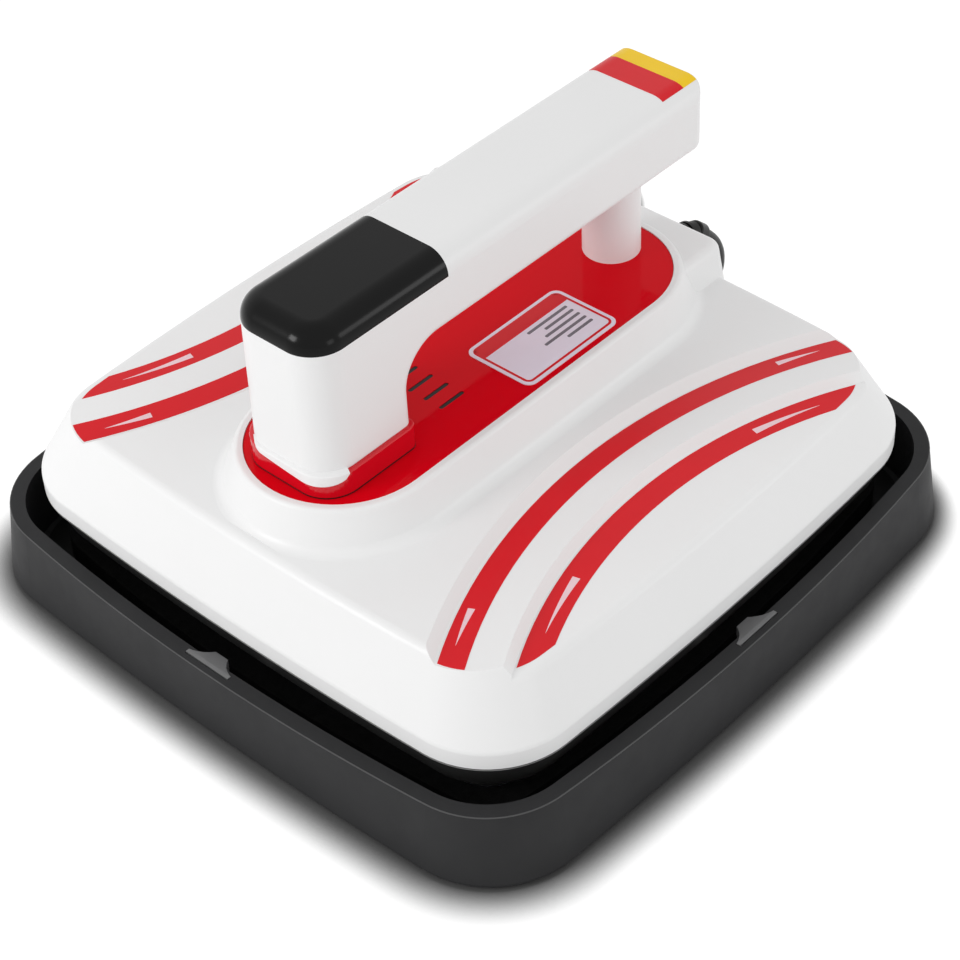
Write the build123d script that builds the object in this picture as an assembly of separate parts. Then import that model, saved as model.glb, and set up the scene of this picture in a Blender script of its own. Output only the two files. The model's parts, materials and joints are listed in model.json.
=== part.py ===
"""Portable heat press resting in its safety base.

Frame: millimetres, +Z up, +X to the right, -Y the display end of the handle, +Y the mains lead end.
The origin is the middle of the base on the table top.
"""
import math
import os

from build123d import *

# ---------------------------------------------------------------- base tub
foot_proud = 1.0            # rubber feet below the tub
foot_radius = 9.0
foot_recess = 1.2
foot_inset = 30.0           # from the tub's corner to a foot's centre
tray_height = 33.0
rim_gap = 7.8               # from the housing's corners to the rim's outer edge
tray_top_bow = 10.0         # how far each side bows out at its middle
tray_top_radius = 38.0
tray_flare = 5.7            # how far the foot stands out beyond the rim
tray_foot_bow = 5.0
tray_foot_radius = 40.0
rim_width = 5.0
rim_swell = 1.4             # the rim is this much wider at the middle of a side
tray_floor = 3.0
tray_edge_round = 0.8
tray_foot_round = 2.0

# ---------------------------------------------------------------- guide tabs in the rim
tab_width = 22.4
tab_tip_width = 6.5
tab_reach = 7.6             # from a tab's outer edge towards the middle
tab_rim_margin = 3.2        # rim left outside the tab
tab_depth = 6.0
tab_proud = 0.3
tab_ridge = 1.6             # level strip along the outer edge
tab_fall = 1.2              # how far the tip lies below the outer edge
tab_waist = 1.6             # how far the flanks curve in
tab_gap = 0.5

# ---------------------------------------------------------------- heat-proof bed
liner_gap = 3.0             # from the tub's inner wall
liner_sheet = 1.2
mat_gap = 10.0              # from the liner's edge
mat_thickness = 10.8
liner_screw_radius = 2.0
liner_screw_depth = 1.8
liner_screw_head = 3.6
liner_screw_head_height = 1.6
liner_screw_inset = 5.0     # from the liner's edge

# ---------------------------------------------------------------- platen and its stack
rest_clearance = 0.05       # platen above the mat, as it rests
platen_half = 114.3         # a 9 in square plate
platen_radius = 18.0
platen_thickness = 10.0
platen_round = 1.0
element_radius = 3.3
element_sink = 1.0          # the element's axis below the platen's top
element_clearance = 0.1
element_margin = 36.3       # from the platen's edge to the element's axis
element_bend = 24.0
element_gap = 28.0          # between its two ends
terminal_width = 8.0
terminal_height = 12.0
blanket_lift = 2.6          # above the platen's top
blanket_thickness = 6.4
blanket_margin = 9.0        # inside the platen's edge
shield_sheet = 1.0
shield_margin = 3.0         # inside the skirt's wall
window_half_x = 44.0        # opening in blanket and shield for the sensors
window_half_y = 16.0
window_y = -20.0
standoff_radius = 5.0
standoff_margin = 22.3      # from the platen's edge
stack_screw_radius = 2.0
stack_screw_head = 3.8
stack_screw_head_height = 2.4
stack_screw_depth = 6.0     # into the platen
hole_clearance = 0.2

# ---------------------------------------------------------------- lower skirt
skirt_inset = 1.2           # behind the shell's edge
skirt_height = 15.0
skirt_wall = 4.0
skirt_tuck = 5.0            # how far its lower edge leans in
skirt_flange_inset = 0.3
skirt_flange = 1.2
skirt_ledge_width = 9.0     # inner ledge over the shield's edge
skirt_ledge = 2.5

# ---------------------------------------------------------------- top shell
shell_seat = 5.95           # from the shield's top up to the housing's lower edge
shell_margin = 14.9         # from the platen's side to the housing's corner
shell_shorter = 2.0         # the housing is this much shorter along Y, each side
shell_bow = 4.4
shell_radius = 37.0
shell_band = 7.5            # upright band at the lower edge
shell_bevel_run = 14.0      # bevelled side, inwards
shell_crease_radius = 28.0
shell_height = 34.7         # up to the level between the arcs
shell_wall = 2.8
crease_round = 4.0
band_round = 3.0

# ---------------------------------------------------------------- stepped arcs, struck from far out
arc_centre = 294.6
arc_inner = 233.7           # foot of the inner step
arc_outer = 206.8           # foot of the outer step
step_run = 4.2
step_depth = 3.4
step_round = 1.2
groove_rise = 2.4           # the surface climbs back before the outer step
wing_drop = 4.5             # level beyond the outer step, below the top
stripe_width = 10.2
stripe_film = 0.12
stripe_foot_gap = 0.8
stripe_end_gap = 0.3

# ---------------------------------------------------------------- plinth, deck, boss
panel_half = 36.9
deck_front_margin = 61.4    # from the housing's front to the centre of the front round end
deck_rear_margin = 57.5     # from its rear to the centre of the rear round end
panel_thickness = 2.4
panel_clearance = 0.15
panel_ledge = 4.0
panel_ledge_height = 2.5
panel_sink = 0.4            # below the plinth's top
plinth_border = 3.4
plinth_flare = 6.3          # how far its foot spreads
plinth_height = 15.8
plinth_foot_round = 5.0
plinth_top_round = 2.0
boss_lap = 3.7              # the boss starts this far inside the round end
boss_margin = 4.0           # from the housing's rear
boss_height = 13.8
boss_half_top = 31.0
boss_half_foot = 34.0
boss_round = 4.5
boss_corner = 7.0
slot_count = 5
slot_pitch = 8.0
slot_width = 1.9
slot_length = 13.0
slot_gap = 27.1             # from the leg
plate_side_gap = 19.4       # from the deck's side to the plate's middle
plate_gap = 62.4            # from the post's axis
plate_width = 33.4
plate_length = 53.0
plate_radius = 4.0
plate_thickness = 0.35

# ---------------------------------------------------------------- handle
grip_half = 22.6
grip_front_margin = 32.2    # from the housing's front
grip_draft = 1.0            # the leg's front leans out by this at its foot
grip_rear_margin = 7.0      # from the housing's rear
hand_room = 41.1            # from the deck to the beam
grip_depth = 31.1
leg_depth = 44.0
front_corner = 14.0
rear_corner = 6.5
grip_top_round = 9.0
grip_low_round = 4.0
rear_edge_round = 2.0
trim_ease = 0.02            # keeps the rear end's trimming prism off the beam's sides
throat_radius = 17.0        # under the beam, behind the leg
handle_wall = 3.6
collar_height = 6.5
collar_flare = 1.8          # the collar stands out past the leg
collar_round = 1.0
wire_hole = 5.0
lip_proud = 0.9
lip_rise = 0.6              # above the leg's foot
lip_overlap = 1.4           # over the collar's front
lip_corner = 7.0            # tighter than the leg's corners, so that it shows round them
cover_thickness = 1.6
cover_edge = 4.5            # from the grip's side to the cover
cover_ledge = 2.0
cover_clearance = 0.15
cover_foot_gap = 9.0        # from the leg's foot to the cover
cover_post_gap = 12.0       # from the cover to the post
cover_screw_radius = 1.5
cover_screw_head = 2.8
cover_screw_head_height = 1.4
cover_screw_inset = 9.0     # from the cover's ends
post_inset = 31.4           # from the beam's rear end
post_radius = 11.9
post_wall = 3.0
bolt_radius = 2.5
bolt_head = 4.5
bolt_head_height = 3.0
bolt_grip = 12.0            # thread above the wall it holds
bolt_boss_wall = 3.5
leg_bolt_pitch = 24.0

# ---------------------------------------------------------------- display end
cap_length = 67.0
cap_drop = 9.5              # its sides come down this far
cap_thickness = 2.0
display_width = 22.0
display_length = 30.0
display_thickness = 5.0
display_inset = 33.0        # from the leg's front
board_width = 30.0
board_length = 58.0
board_thickness = 1.6
spring_radius = 2.2
spring_pitch = 9.0
spring_count = 3
spring_inset = 55.0         # from the leg's front
buzzer_radius = 6.0
buzzer_height = 4.5
buzzer_offset = 22.0

# ---------------------------------------------------------------- end sticker
sticker_half = 18.4
sticker_front_gap = 22.2    # from the beam's rear end
sticker_change_gap = 9.6
sticker_rear_gap = 1.6
sticker_film = 0.12

# ---------------------------------------------------------------- electrical parts
cutout_radius = 8.0
cutout_height = 8.0
cutout_x = 30.0
sensor_radius = 3.0
sensor_height = 6.0
fuse_length = 24.0
fuse_radius = 2.4
fuse_clip = 6.0
power_board_width = 60.0
power_board_length = 46.0
power_board_inset = 23.0    # from the leg's front to the board's middle
power_board_lift = 4.0
board_leg_radius = 2.5
board_leg_inset = 5.0
heat_sink_width = 36.0
heat_sink_depth = 16.0
heat_sink_height = 15.0
heat_sink_base = 3.0
fin_thickness = 1.6
fin_count = 6
block_width = 26.0
block_depth = 12.0
block_height = 13.0
block_gap = 56.4            # from the boss's rear wall
block_way = 3.2             # radius of a wire way
harness_radius = 2.8
clamp_width = 26.0
clamp_height = 5.0
clamp_depth = 9.0
clamp_gap = 3.0             # from the clamp to the sleeve's flange

# ---------------------------------------------------------------- mains lead
cord_diameter = 6.0
relief_x = 4.0
relief_rise = 1.5           # above the level between the arcs
relief_root_tilt = 12.0     # degrees, nose down
relief_root_length = 14.5
relief_tip_tilt = 41.0
relief_tip_length = 7.3
relief_root_radius = 4.6
relief_neck_radius = 4.0
relief_tip_radius = 4.4
relief_flange_radius = 6.6
relief_flange = 2.2
relief_step = 0.3           # the taper starts this much under the root radius
relief_ribs = 3
relief_rib_width = 1.5
relief_rib_proud = 0.6
relief_tip_round = 1.0
coil_x = -124.7
coil_y = 194.2
coil_mid_radius = 31.0
coil_columns = 3
coil_layers = 2
coil_round = 2.5
lead_points = [
    (4.0, 148.2, 65.9),
    (4.0, 154.2, 57.0),
    (2.6, 157.2, 45.5),
    (-2.0, 158.4, 32.5),
    (-8.0, 159.2, 19.5),
    (-16.5, 159.4, 9.4),
    (-28.5, 159.2, 3.9),
    (-44.5, 158.6, 3.0),
    (-73.0, 157.4, 3.0),
    (-100.0, 156.8, 3.0),
    (-122.0, 157.2, 3.0),
]
tail_points = [
    (-161.7, 194.2, 9.0),
    (-160.2, 207.0, 10.0),
    (-156.8, 219.0, 12.0),
    (-153.8, 230.5, 12.0),
]
plug_length = 36.0
plug_width = 24.0
plug_height = 24.0
plug_waist = 18.0
plug_neck = 12.0
plug_neck_radius = 5.0
plug_round = 4.0
pin_length = 17.0
pin_width = 6.3
pin_thickness = 1.5
pin_pitch = 12.7
pin_bury = 4.0
earth_radius = 2.4
earth_drop = 7.5

# ---------------------------------------------------------------- places and levels worked out from the sizes above
shell_half_x = platen_half + shell_margin
shell_half_y = shell_half_x - shell_shorter
tray_top_half = shell_half_x + rim_gap
tray_foot_half = tray_top_half + tray_flare
element_half = platen_half - element_margin
standoff_reach = platen_half - standoff_margin
panel_front = deck_front_margin - shell_half_y
panel_rear = shell_half_y - deck_rear_margin
boss_start = panel_rear - boss_lap
boss_rear = shell_half_y - boss_margin
boss_inner_rear = boss_rear - shell_wall
grip_front = grip_front_margin - shell_half_y
grip_rear = shell_half_y - grip_rear_margin
leg_rear = grip_front + leg_depth
post_y = grip_rear - post_inset
cap_rear = grip_front + cap_length
display_y = grip_front + display_inset
spring_y = grip_front + spring_inset
slot_centre_y = leg_rear + slot_gap
plate_x = panel_half - plate_side_gap
plate_y = post_y - plate_gap
sticker_front = grip_rear - sticker_front_gap
sticker_change = grip_rear - sticker_change_gap
sticker_rear = grip_rear - sticker_rear_gap
power_board_y = grip_front + power_board_inset
block_y = boss_inner_rear - block_gap
tub_bottom = foot_proud
rim_z = tub_bottom + tray_height
floor_z = tub_bottom + tray_floor
mat_bottom = floor_z + liner_sheet
mat_top = mat_bottom + mat_thickness
platen_bottom = mat_top + rest_clearance
platen_top = platen_bottom + platen_thickness
blanket_bottom = platen_top + blanket_lift
blanket_top = blanket_bottom + blanket_thickness
shield_top = blanket_top + shield_sheet
shell_bottom = shield_top + shell_seat
shell_top = shell_bottom + shell_height
relief_z = shell_top + relief_rise
skirt_bottom = shell_bottom - skirt_height
band_top = shell_bottom + shell_band
wing_z = shell_top - wing_drop
ceiling_z = wing_z - shell_wall
pocket_z = shell_top - shell_wall
plinth_top = shell_top + plinth_height
panel_top = plinth_top - panel_sink
panel_bottom = panel_top - panel_thickness
ledge_bottom = panel_bottom - panel_ledge_height
boss_top = shell_top + boss_height
collar_top = panel_top + collar_height
grip_bottom = panel_top + hand_room
grip_top = grip_bottom + grip_depth
cap_bottom = grip_top - cap_drop
cavity_top = grip_top - handle_wall
cap_underside = grip_top - cap_thickness
display_bottom = cap_underside - display_thickness
board_bottom = display_bottom - board_thickness
power_board_z = shield_top + power_board_lift
arc_crest = arc_inner + step_run
step_run_outer = step_run - step_round
cord_radius = cord_diameter / 2


# ---------------------------------------------------------------- helpers
def bowed_outline(half_x, half_y, bow, radius, z):
    """A square with bowed sides and rounded corners, as a face at height z."""
    corners = [(-half_x, -half_y), (half_x, -half_y), (half_x, half_y), (-half_x, half_y)]
    middles = [(0, -half_y - bow), (half_x + bow, 0), (0, half_y + bow), (-half_x - bow, 0)]
    sides = []
    for index, middle in enumerate(middles):
        sides.append(ThreePointArc(corners[index], middle, corners[(index + 1) % 4]))
    face = make_face(sides)
    return Pos(0, 0, z) * fillet(face.vertices(), radius)


def slab(outline, height):
    """A face at its own height, thickened upwards."""
    return extrude(outline, amount=height)


def stadium(half, grow, z):
    """The deck's long round-ended outline at height z, its two centres fixed, its half width set."""
    front = panel_front
    rear = panel_rear
    width = half + grow
    outline = [
        Line((width, front), (width, rear)),
        ThreePointArc((width, rear), (0, rear + width), (-width, rear)),
        Line((-width, rear), (-width, front)),
        ThreePointArc((-width, front), (0, front - width), (width, front)),
    ]
    return Pos(0, 0, z) * make_face(outline)


def peg(x, y, z, radius, height):
    """An upright cylinder standing on z."""
    return Pos(x, y, z) * Cylinder(radius, height, align=(Align.CENTER, Align.CENTER, Align.MIN))


def block(x, y, z, width, length, height):
    """A box centred on x and y, standing on z."""
    return Pos(x, y, z) * Box(width, length, height, align=(Align.CENTER, Align.CENTER, Align.MIN))


def soften(face, corners):
    """Round single corners of a face, each given as its point and its radius."""
    for x, y, radius in corners:
        nearest = face.vertices().sort_by_distance((x, y, 0))[0]
        face = fillet(nearest, radius)
    return face


def edges_at(body, z, tolerance=0.01):
    """All the edges of a body that lie level at height z."""
    return body.edges().filter_by_position(Axis.Z, z - tolerance, z + tolerance)


def four_corners(reach):
    """The four points at plus and minus reach."""
    return [(x, y) for x in (-reach, reach) for y in (-reach, reach)]


# ---------------------------------------------------------------- base
def tub_inner(gap, z):
    """The tub's inner outline, moved in by a gap."""
    inset = rim_width + gap
    return bowed_outline(
        tray_top_half - inset,
        tray_top_half - inset,
        tray_top_bow - rim_swell,
        tray_top_radius - inset,
        z,
    )


def liner_screw_places():
    reach = tray_top_half - rim_width - liner_gap + tray_top_bow - rim_swell - liner_screw_inset
    return [(reach, 0), (-reach, 0), (0, reach), (0, -reach)]


def foot_places():
    return four_corners(tray_foot_half - foot_inset)


def tab_outer_edge():
    return tray_top_half + tray_top_bow - tab_rim_margin


def tab_outline(grow):
    """A guide tab in plan on the +X side: wide at the rim, narrow at its tip, with hollow flanks."""
    outer = tab_outer_edge() + grow
    tip = tab_outer_edge() - tab_reach
    wide = tab_width / 2 + grow
    narrow = tab_tip_width / 2 + grow
    middle_x = (outer - tab_ridge + tip) / 2
    middle_y = (wide + narrow) / 2 - tab_waist
    outline = [
        Line((outer, -wide), (outer, wide)),
        Line((outer, wide), (outer - tab_ridge, wide)),
        ThreePointArc((outer - tab_ridge, wide), (middle_x, middle_y), (tip, narrow)),
        Line((tip, narrow), (tip, -narrow)),
        ThreePointArc((tip, -narrow), (middle_x, -middle_y), (outer - tab_ridge, -wide)),
        Line((outer - tab_ridge, -wide), (outer, -wide)),
    ]
    return make_face(outline)


def guide_tab():
    """One tab, its top level at the rim and falling towards its tip."""
    bottom = rim_z - tab_depth
    top = rim_z + tab_proud
    body = slab(Pos(0, 0, bottom) * tab_outline(0), top - bottom)
    start = tab_outer_edge() - tab_ridge
    end = tab_outer_edge() - tab_reach
    slope = Polyline((start, top), (end, top - tab_fall), (end, top + 1), (start, top + 1), close=True)
    cutter = extrude(Plane.XZ * make_face(slope), amount=tab_width, both=True)
    return body - cutter


def around(body):
    """The same body on all four sides."""
    return [Rot(0, 0, quarter * 90) * body for quarter in range(4)]


def base_tray():
    foot = bowed_outline(tray_foot_half, tray_foot_half, tray_foot_bow, tray_foot_radius, tub_bottom)
    top = bowed_outline(tray_top_half, tray_top_half, tray_top_bow, tray_top_radius, rim_z)
    body = loft([foot, top], ruled=True)
    body = fillet(edges_at(body, tub_bottom), tray_foot_round)
    body = fillet(edges_at(body, rim_z), tray_edge_round)
    body -= slab(tub_inner(0, floor_z), tray_height)
    pocket = slab(Pos(0, 0, rim_z - tab_depth) * tab_outline(0), tab_depth + tab_proud)
    slot_x = tab_outer_edge() + tab_gap / 2
    slot = block(slot_x, 0, rim_z - tab_depth / 2, tab_gap, tab_width, tab_depth)
    for cutter in around(pocket) + around(slot):
        body -= cutter
    for x, y in foot_places():
        body -= peg(x, y, tub_bottom, foot_radius, foot_recess)
    for x, y in liner_screw_places():
        body -= peg(x, y, floor_z - liner_screw_depth, liner_screw_radius, liner_screw_depth)
    return body


def base_feet():
    return [peg(x, y, 0, foot_radius, foot_proud + foot_recess) for x, y in foot_places()]


def base_liner():
    body = slab(tub_inner(liner_gap, floor_z), liner_sheet)
    for x, y in liner_screw_places():
        body -= peg(x, y, floor_z, liner_screw_radius + hole_clearance, liner_sheet)
    return body


def insulation_mat():
    return slab(tub_inner(liner_gap + mat_gap, mat_bottom), mat_thickness)


def base_screws():
    screws = []
    for x, y in liner_screw_places():
        shank = peg(x, y, floor_z - liner_screw_depth, liner_screw_radius, liner_screw_depth + liner_sheet)
        screws.append(shank + peg(x, y, mat_bottom, liner_screw_head, liner_screw_head_height))
    return screws


# ---------------------------------------------------------------- platen and its stack
def square_slab(half, radius, z, height):
    return slab(Pos(0, 0, z) * RectangleRounded(2 * half, 2 * half, radius), height)


def element_path():
    """A square loop with round bends, open in the middle of its rear side."""
    reach = element_half
    gap = element_gap / 2
    z = platen_top - element_sink
    points = [
        (gap, reach, z),
        (reach, reach, z),
        (reach, -reach, z),
        (-reach, -reach, z),
        (-reach, reach, z),
        (-gap, reach, z),
    ]
    return FilletPolyline(*points, radius=element_bend)


def element_tube(radius):
    path = element_path()
    section = Plane(origin=path @ 0, z_dir=path % 0) * Circle(radius)
    return sweep(section, path=path)


def terminal_places():
    inner = element_gap / 2 - terminal_width / 2
    return [(inner, element_half), (-inner, element_half)]


def heating_platen():
    body = square_slab(platen_half, platen_radius, platen_bottom, platen_thickness)
    body = fillet(edges_at(body, platen_bottom), platen_round)
    body -= element_tube(element_radius + element_clearance)
    for x, y in four_corners(standoff_reach):
        body -= peg(x, y, platen_top - stack_screw_depth, stack_screw_radius, stack_screw_depth)
    return body


def heating_element():
    return element_tube(element_radius)


def element_terminals():
    ends = []
    for x, y in terminal_places():
        ends.append(block(x, y, platen_top, terminal_width, terminal_width, terminal_height))
    return ends


def stack_sheet(half, z, height, edge_radius):
    """A sheet of the stack with its holes for spacers, terminals and sensors."""
    sheet = square_slab(half, edge_radius, z, height)
    for x, y in terminal_places():
        side = terminal_width + 2 * hole_clearance
        sheet -= block(x, y, z, side, side, height)
    return sheet - block(0, window_y, z, 2 * window_half_x, 2 * window_half_y, height)


def insulation_blanket():
    half = platen_half - blanket_margin
    body = stack_sheet(half, blanket_bottom, blanket_thickness, platen_radius - blanket_margin)
    for x, y in four_corners(standoff_reach):
        body -= peg(x, y, blanket_bottom, standoff_radius + hole_clearance, blanket_thickness)
    return body


def heat_shield():
    half = shell_half_y - skirt_inset - skirt_tuck - skirt_wall - shield_margin
    body = stack_sheet(half, blanket_top, shield_sheet, platen_radius)
    for x, y in four_corners(standoff_reach):
        body -= peg(x, y, blanket_top, stack_screw_radius + hole_clearance, shield_sheet)
    return body


def platen_standoffs():
    spacers = []
    height = blanket_top - platen_top
    for x, y in four_corners(standoff_reach):
        bore = peg(x, y, platen_top, stack_screw_radius + hole_clearance, height)
        spacers.append(peg(x, y, platen_top, standoff_radius, height) - bore)
    return spacers


def platen_screws():
    screws = []
    length = stack_screw_depth + shield_top - platen_top
    for x, y in four_corners(standoff_reach):
        shank = peg(x, y, platen_top - stack_screw_depth, stack_screw_radius, length)
        screws.append(shank + peg(x, y, shield_top, stack_screw_head, stack_screw_head_height))
    return screws


def thermostat():
    can = peg(cutout_x, window_y, platen_top, cutout_radius, cutout_height)
    tabs = block(cutout_x, window_y, platen_top + cutout_height, cutout_radius, 2.4 * cutout_radius / 2, 3)
    return can + tabs


def temperature_sensor():
    bead = peg(0, window_y, platen_top, sensor_radius, sensor_height)
    return fillet(edges_at(bead, platen_top + sensor_height), sensor_radius / 2)


def thermal_fuse():
    """A fuse lying in a saddle clip on the platen."""
    saddle = block(-cutout_x, window_y, platen_top, fuse_clip, 3 * fuse_radius, fuse_radius)
    lying = Pos(-cutout_x, window_y, platen_top + 1.5 * fuse_radius) * Rot(0, 90, 0)
    return saddle + lying * Cylinder(fuse_radius, fuse_length)


# ---------------------------------------------------------------- skirt
def shell_outline(grow, z, lean=0.0):
    """The shell's outline, moved out by grow and in by a lean."""
    size = grow - lean
    return bowed_outline(shell_half_x + size, shell_half_y + size, shell_bow, shell_radius + size, z)


def lower_skirt():
    """A ring that leans in towards its lower edge, with a ledge over the shield and a lip under the shell."""
    flange_bottom = shell_bottom - skirt_flange
    wall = loft(
        [
            shell_outline(-skirt_inset, skirt_bottom, skirt_tuck),
            shell_outline(-skirt_inset, flange_bottom),
        ],
        ruled=True,
    )
    wall += slab(shell_outline(-skirt_flange_inset, flange_bottom), skirt_flange)
    inner = shell_outline(-skirt_inset - skirt_wall, skirt_bottom, skirt_tuck)
    wall -= slab(inner, shield_top - skirt_bottom)
    upper = shell_outline(-skirt_inset - skirt_wall, shield_top + skirt_ledge, skirt_tuck)
    wall -= slab(upper, skirt_height)
    opening = shell_outline(-skirt_inset - skirt_wall - skirt_ledge_width, shield_top, skirt_tuck)
    return wall - slab(opening, skirt_ledge)


# ---------------------------------------------------------------- top shell
def shell_section(inset, z):
    """The shell's outline at a height on its bevelled side, moved in by an inset."""
    rise = max(0.0, (z - band_top) / (shell_top - band_top))
    lean = inset + shell_bevel_run * rise
    radius = shell_radius - (shell_radius - shell_crease_radius) * rise - inset
    return bowed_outline(shell_half_x - lean, shell_half_y - lean, shell_bow, radius, z)


def shell_body(inset, bottom, top):
    sections = [shell_section(inset, bottom), shell_section(inset, band_top), shell_section(inset, top)]
    return loft(sections, ruled=True)


def groove_level(radius):
    """Height of the surface that climbs from the inner step's foot to the outer step's crest."""
    foot = shell_top - step_depth
    crest_radius = arc_outer + step_run_outer
    return foot + groove_rise * (arc_inner - radius) / (arc_inner - crest_radius)


def arc_revolve(outline):
    """Turn an outline, given as radius and height, about the far upright axis on the +X side."""
    points = [(arc_centre - radius, z) for radius, z in outline]
    face = Plane.XZ * make_face(Polyline(*points, close=True))
    return turn_about_arc(face)


def turn_about_arc(face):
    sweep_angle = 120
    start = Pos(arc_centre, 0, 0) * Rot(0, 0, -sweep_angle / 2) * Pos(-arc_centre, 0, 0)
    return revolve(start * face, axis=Axis((arc_centre, 0, 0), (0, 0, 1)), revolution_arc=sweep_angle)


def arc_cutter():
    """What is cut away on the +X side: the groove with its two steps, and all beyond it down to the wing."""
    crest_radius = arc_outer + step_run_outer
    far = arc_centre - shell_half_x - shell_bow - shell_wall
    above = shell_top + shell_wall
    x_foot = arc_centre - arc_inner
    points = [
        (arc_centre - arc_crest, above),
        (arc_centre - arc_crest, shell_top),
        (x_foot, shell_top - step_depth),
        (arc_centre - crest_radius, groove_level(crest_radius)),
        (arc_centre - arc_outer, wing_z),
        (arc_centre - arc_outer, ceiling_z),
        (arc_centre - far, ceiling_z),
        (arc_centre - far, above),
    ]
    face = make_face(Polyline(*points, close=True))
    face = soften(face, [(x_foot, shell_top - step_depth, step_round)])
    return turn_about_arc(Plane.XZ * face)


def mirrored(body):
    """A body on the +X side and the same one turned half round to the -X side."""
    return [body, Rot(0, 0, 180) * body]


def shell_wings():
    """The lower, flat part of the shell beyond the outer steps, with its own rounded crease."""
    body = shell_body(0, shell_bottom, wing_z)
    return fillet(edges_at(body, wing_z), crease_round)


def inside_bevel(gap, z, bottom):
    """Upright prism from a bottom to the plinth's top, a gap inside the bevelled side as it stands at height z."""
    outline = Pos(0, 0, bottom - z) * shell_section(gap, z)
    return slab(outline, plinth_top - bottom)


def crease_reach():
    """How far the crease's rounding reaches in over the level top."""
    slope = math.atan2(shell_top - band_top, shell_bevel_run)
    return crease_round * math.tan(slope / 2)


def plinth_edges(body, z):
    """Level edges at a height where the plinth's flank meets the shell's top."""
    half = panel_half + plinth_border + plinth_flare + plinth_foot_round
    chosen = []
    for edge in edges_at(body, z):
        middle = edge.center()
        if abs(middle.X) < half and panel_front - half < middle.Y < panel_rear + half:
            chosen.append(edge)
    return chosen


def plinth():
    """The raised oval under the deck, flowing into the shell's top all round."""
    spread = plinth_border + plinth_flare
    foot = stadium(panel_half, spread, shell_top)
    top = stadium(panel_half, plinth_border, plinth_top)
    body = loft([foot, top], ruled=True)
    body += slab(stadium(panel_half, spread + plinth_foot_round + shell_wall, pocket_z), shell_wall)
    body = fillet(plinth_edges(body, shell_top), plinth_foot_round)
    body = fillet(edges_at(body, plinth_top), plinth_top_round)
    return body & inside_bevel(crease_round, shell_top, pocket_z)


def boss_body(inset, bottom, rear):
    """The tunnel that carries the mains lead out of the plinth, with its rounded edges."""
    slope = (boss_half_foot - boss_half_top) / boss_height
    top = boss_top - inset
    half_top = boss_half_top - inset
    half_bottom = half_top + slope * (top - bottom)
    corners = [(-half_bottom, bottom), (half_bottom, bottom), (half_top, top), (-half_top, top)]
    face = make_face(Polyline(*corners, close=True))
    length = rear - boss_start
    body = extrude(Plane.XZ.offset(-boss_start) * face, amount=-length)
    uprights = body.edges().group_by(Axis.Y)[-1].filter_by(Axis.X, reverse=True)
    body = fillet(uprights, boss_corner - inset)
    return body


def top_edges(body, z, front):
    """Level edges at a height, without the one at the hidden front end."""
    level = edges_at(body, z)
    return [edge for edge in level if edge.center().Y > front]


def cord_boss():
    body = boss_body(0, ceiling_z, boss_rear)
    return fillet(top_edges(body, boss_top, boss_start + shell_wall), boss_round)


def shell_outer():
    body = shell_body(0, shell_bottom, shell_top)
    body = fillet(edges_at(body, shell_top), crease_round)
    for cutter in mirrored(arc_cutter()):
        body -= cutter
    body += shell_wings()
    body = fillet(edges_at(body, band_top), band_round)
    return body + plinth() + cord_boss()


def shell_cavity():
    body = shell_body(shell_wall, shell_bottom, ceiling_z)
    half_x = arc_centre - arc_crest - shell_wall
    half_y = shell_half_y - shell_bevel_run - 3 * shell_wall
    body += block(0, 0, band_top, 2 * half_x, 2 * half_y, pocket_z - band_top)
    foot = stadium(panel_half, plinth_border + plinth_flare - shell_wall, shell_top)
    top = stadium(panel_half, plinth_border - shell_wall, ledge_bottom)
    body += slab(stadium(panel_half, -panel_ledge, band_top), ledge_bottom - band_top)
    body += loft([foot, top], ruled=True)
    return body + boss_body(shell_wall, ceiling_z - shell_wall, boss_inner_rear)


def deck_recess():
    body = slab(stadium(panel_half, -panel_ledge, ledge_bottom), plinth_height)
    return body + slab(stadium(panel_half, panel_clearance, panel_bottom), plinth_height)


def relief_hole():
    hole = Cylinder(relief_root_radius + hole_clearance / 2, 4 * shell_wall)
    return Pos(relief_x, boss_rear, relief_z) * Rot(90, 0, 0) * hole


def top_shell():
    return shell_outer() - shell_cavity() - deck_recess() - relief_hole()


# ---------------------------------------------------------------- stripes
def film_on_arc(inner, width, film, level):
    """A thin band along an arc, lying on the surface whose height is level(radius)."""
    outer = inner - width
    points = [
        (inner, level(inner)),
        (inner, level(inner) + film),
        (outer, level(outer) + film),
        (outer, level(outer)),
    ]
    return arc_revolve(points)


def wing_level(radius):
    return wing_z


def stripe_rows():
    """Inner edge, surface and end gap of the two stripes on a side."""
    return [
        (arc_inner - stripe_foot_gap, groove_level, stripe_end_gap),
        (arc_outer - stripe_foot_gap, wing_level, stripe_end_gap + crease_reach()),
    ]


def stripe(inner, level, gap):
    film = film_on_arc(inner, stripe_width, stripe_film, level)
    return film & inside_bevel(gap, level(inner - stripe_width) + stripe_film, ceiling_z)


def stripe_decals():
    films = []
    for inner, level, gap in stripe_rows():
        films += mirrored(stripe(inner, level, gap))
    return films


# ---------------------------------------------------------------- deck
def deck_holes(z, height):
    """Bolt and wire holes that pass through deck and collar."""
    cutters = [peg(x, y, z, bolt_radius + hole_clearance, height) for x, y in leg_bolt_places()]
    cutters.append(peg(0, leg_centre(), z, wire_hole, height))
    return cutters


def leg_centre():
    return (grip_front + leg_rear) / 2


def leg_bolt_places():
    return [(0, leg_centre() - leg_bolt_pitch / 2), (0, leg_centre() + leg_bolt_pitch / 2)]


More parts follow.
